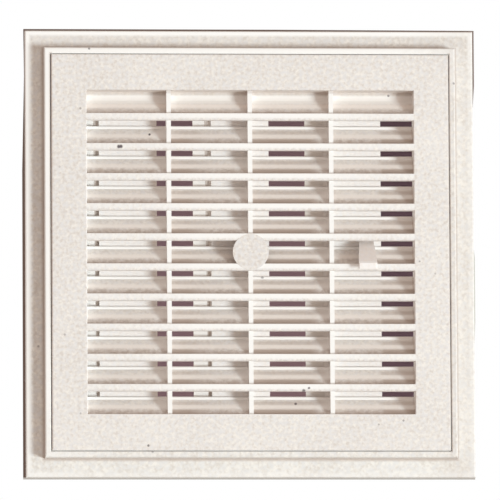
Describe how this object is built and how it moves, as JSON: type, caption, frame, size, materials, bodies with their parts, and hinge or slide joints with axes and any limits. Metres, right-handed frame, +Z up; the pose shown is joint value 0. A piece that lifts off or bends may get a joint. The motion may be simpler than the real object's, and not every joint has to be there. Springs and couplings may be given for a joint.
{
  "type": "ventilation grille",
  "caption": "Square wall ventilation grille with fixed sloping louvres, a clip-in front and a sliding slotted shutter worked by a finger lug.",
  "frame": {"origin": "centre of the grille on the wall plane, which is the back of the flange", "axes": "+Y into the wall, +Z up, +X to the right as seen from the room"},
  "size_m": [0.15, 0.0251, 0.15],
  "materials": {
    "base_frame": "satin off-white moulded plastic",
    "shutter": "satin off-white moulded plastic",
    "front_grille": "satin off-white moulded plastic"
  },
  "bodies": {
    "frame": {"base_frame": "base_frame", "front_grille": "front_grille"},
    "shutter": {"shutter": "shutter"}
  },
  "joints": [
    {"name": "shutter_slide", "type": "slide", "parent": "frame", "child": "shutter", "axis": [1, 0, 0], "range_m": [-0.006, 0.01275]}
  ]
}
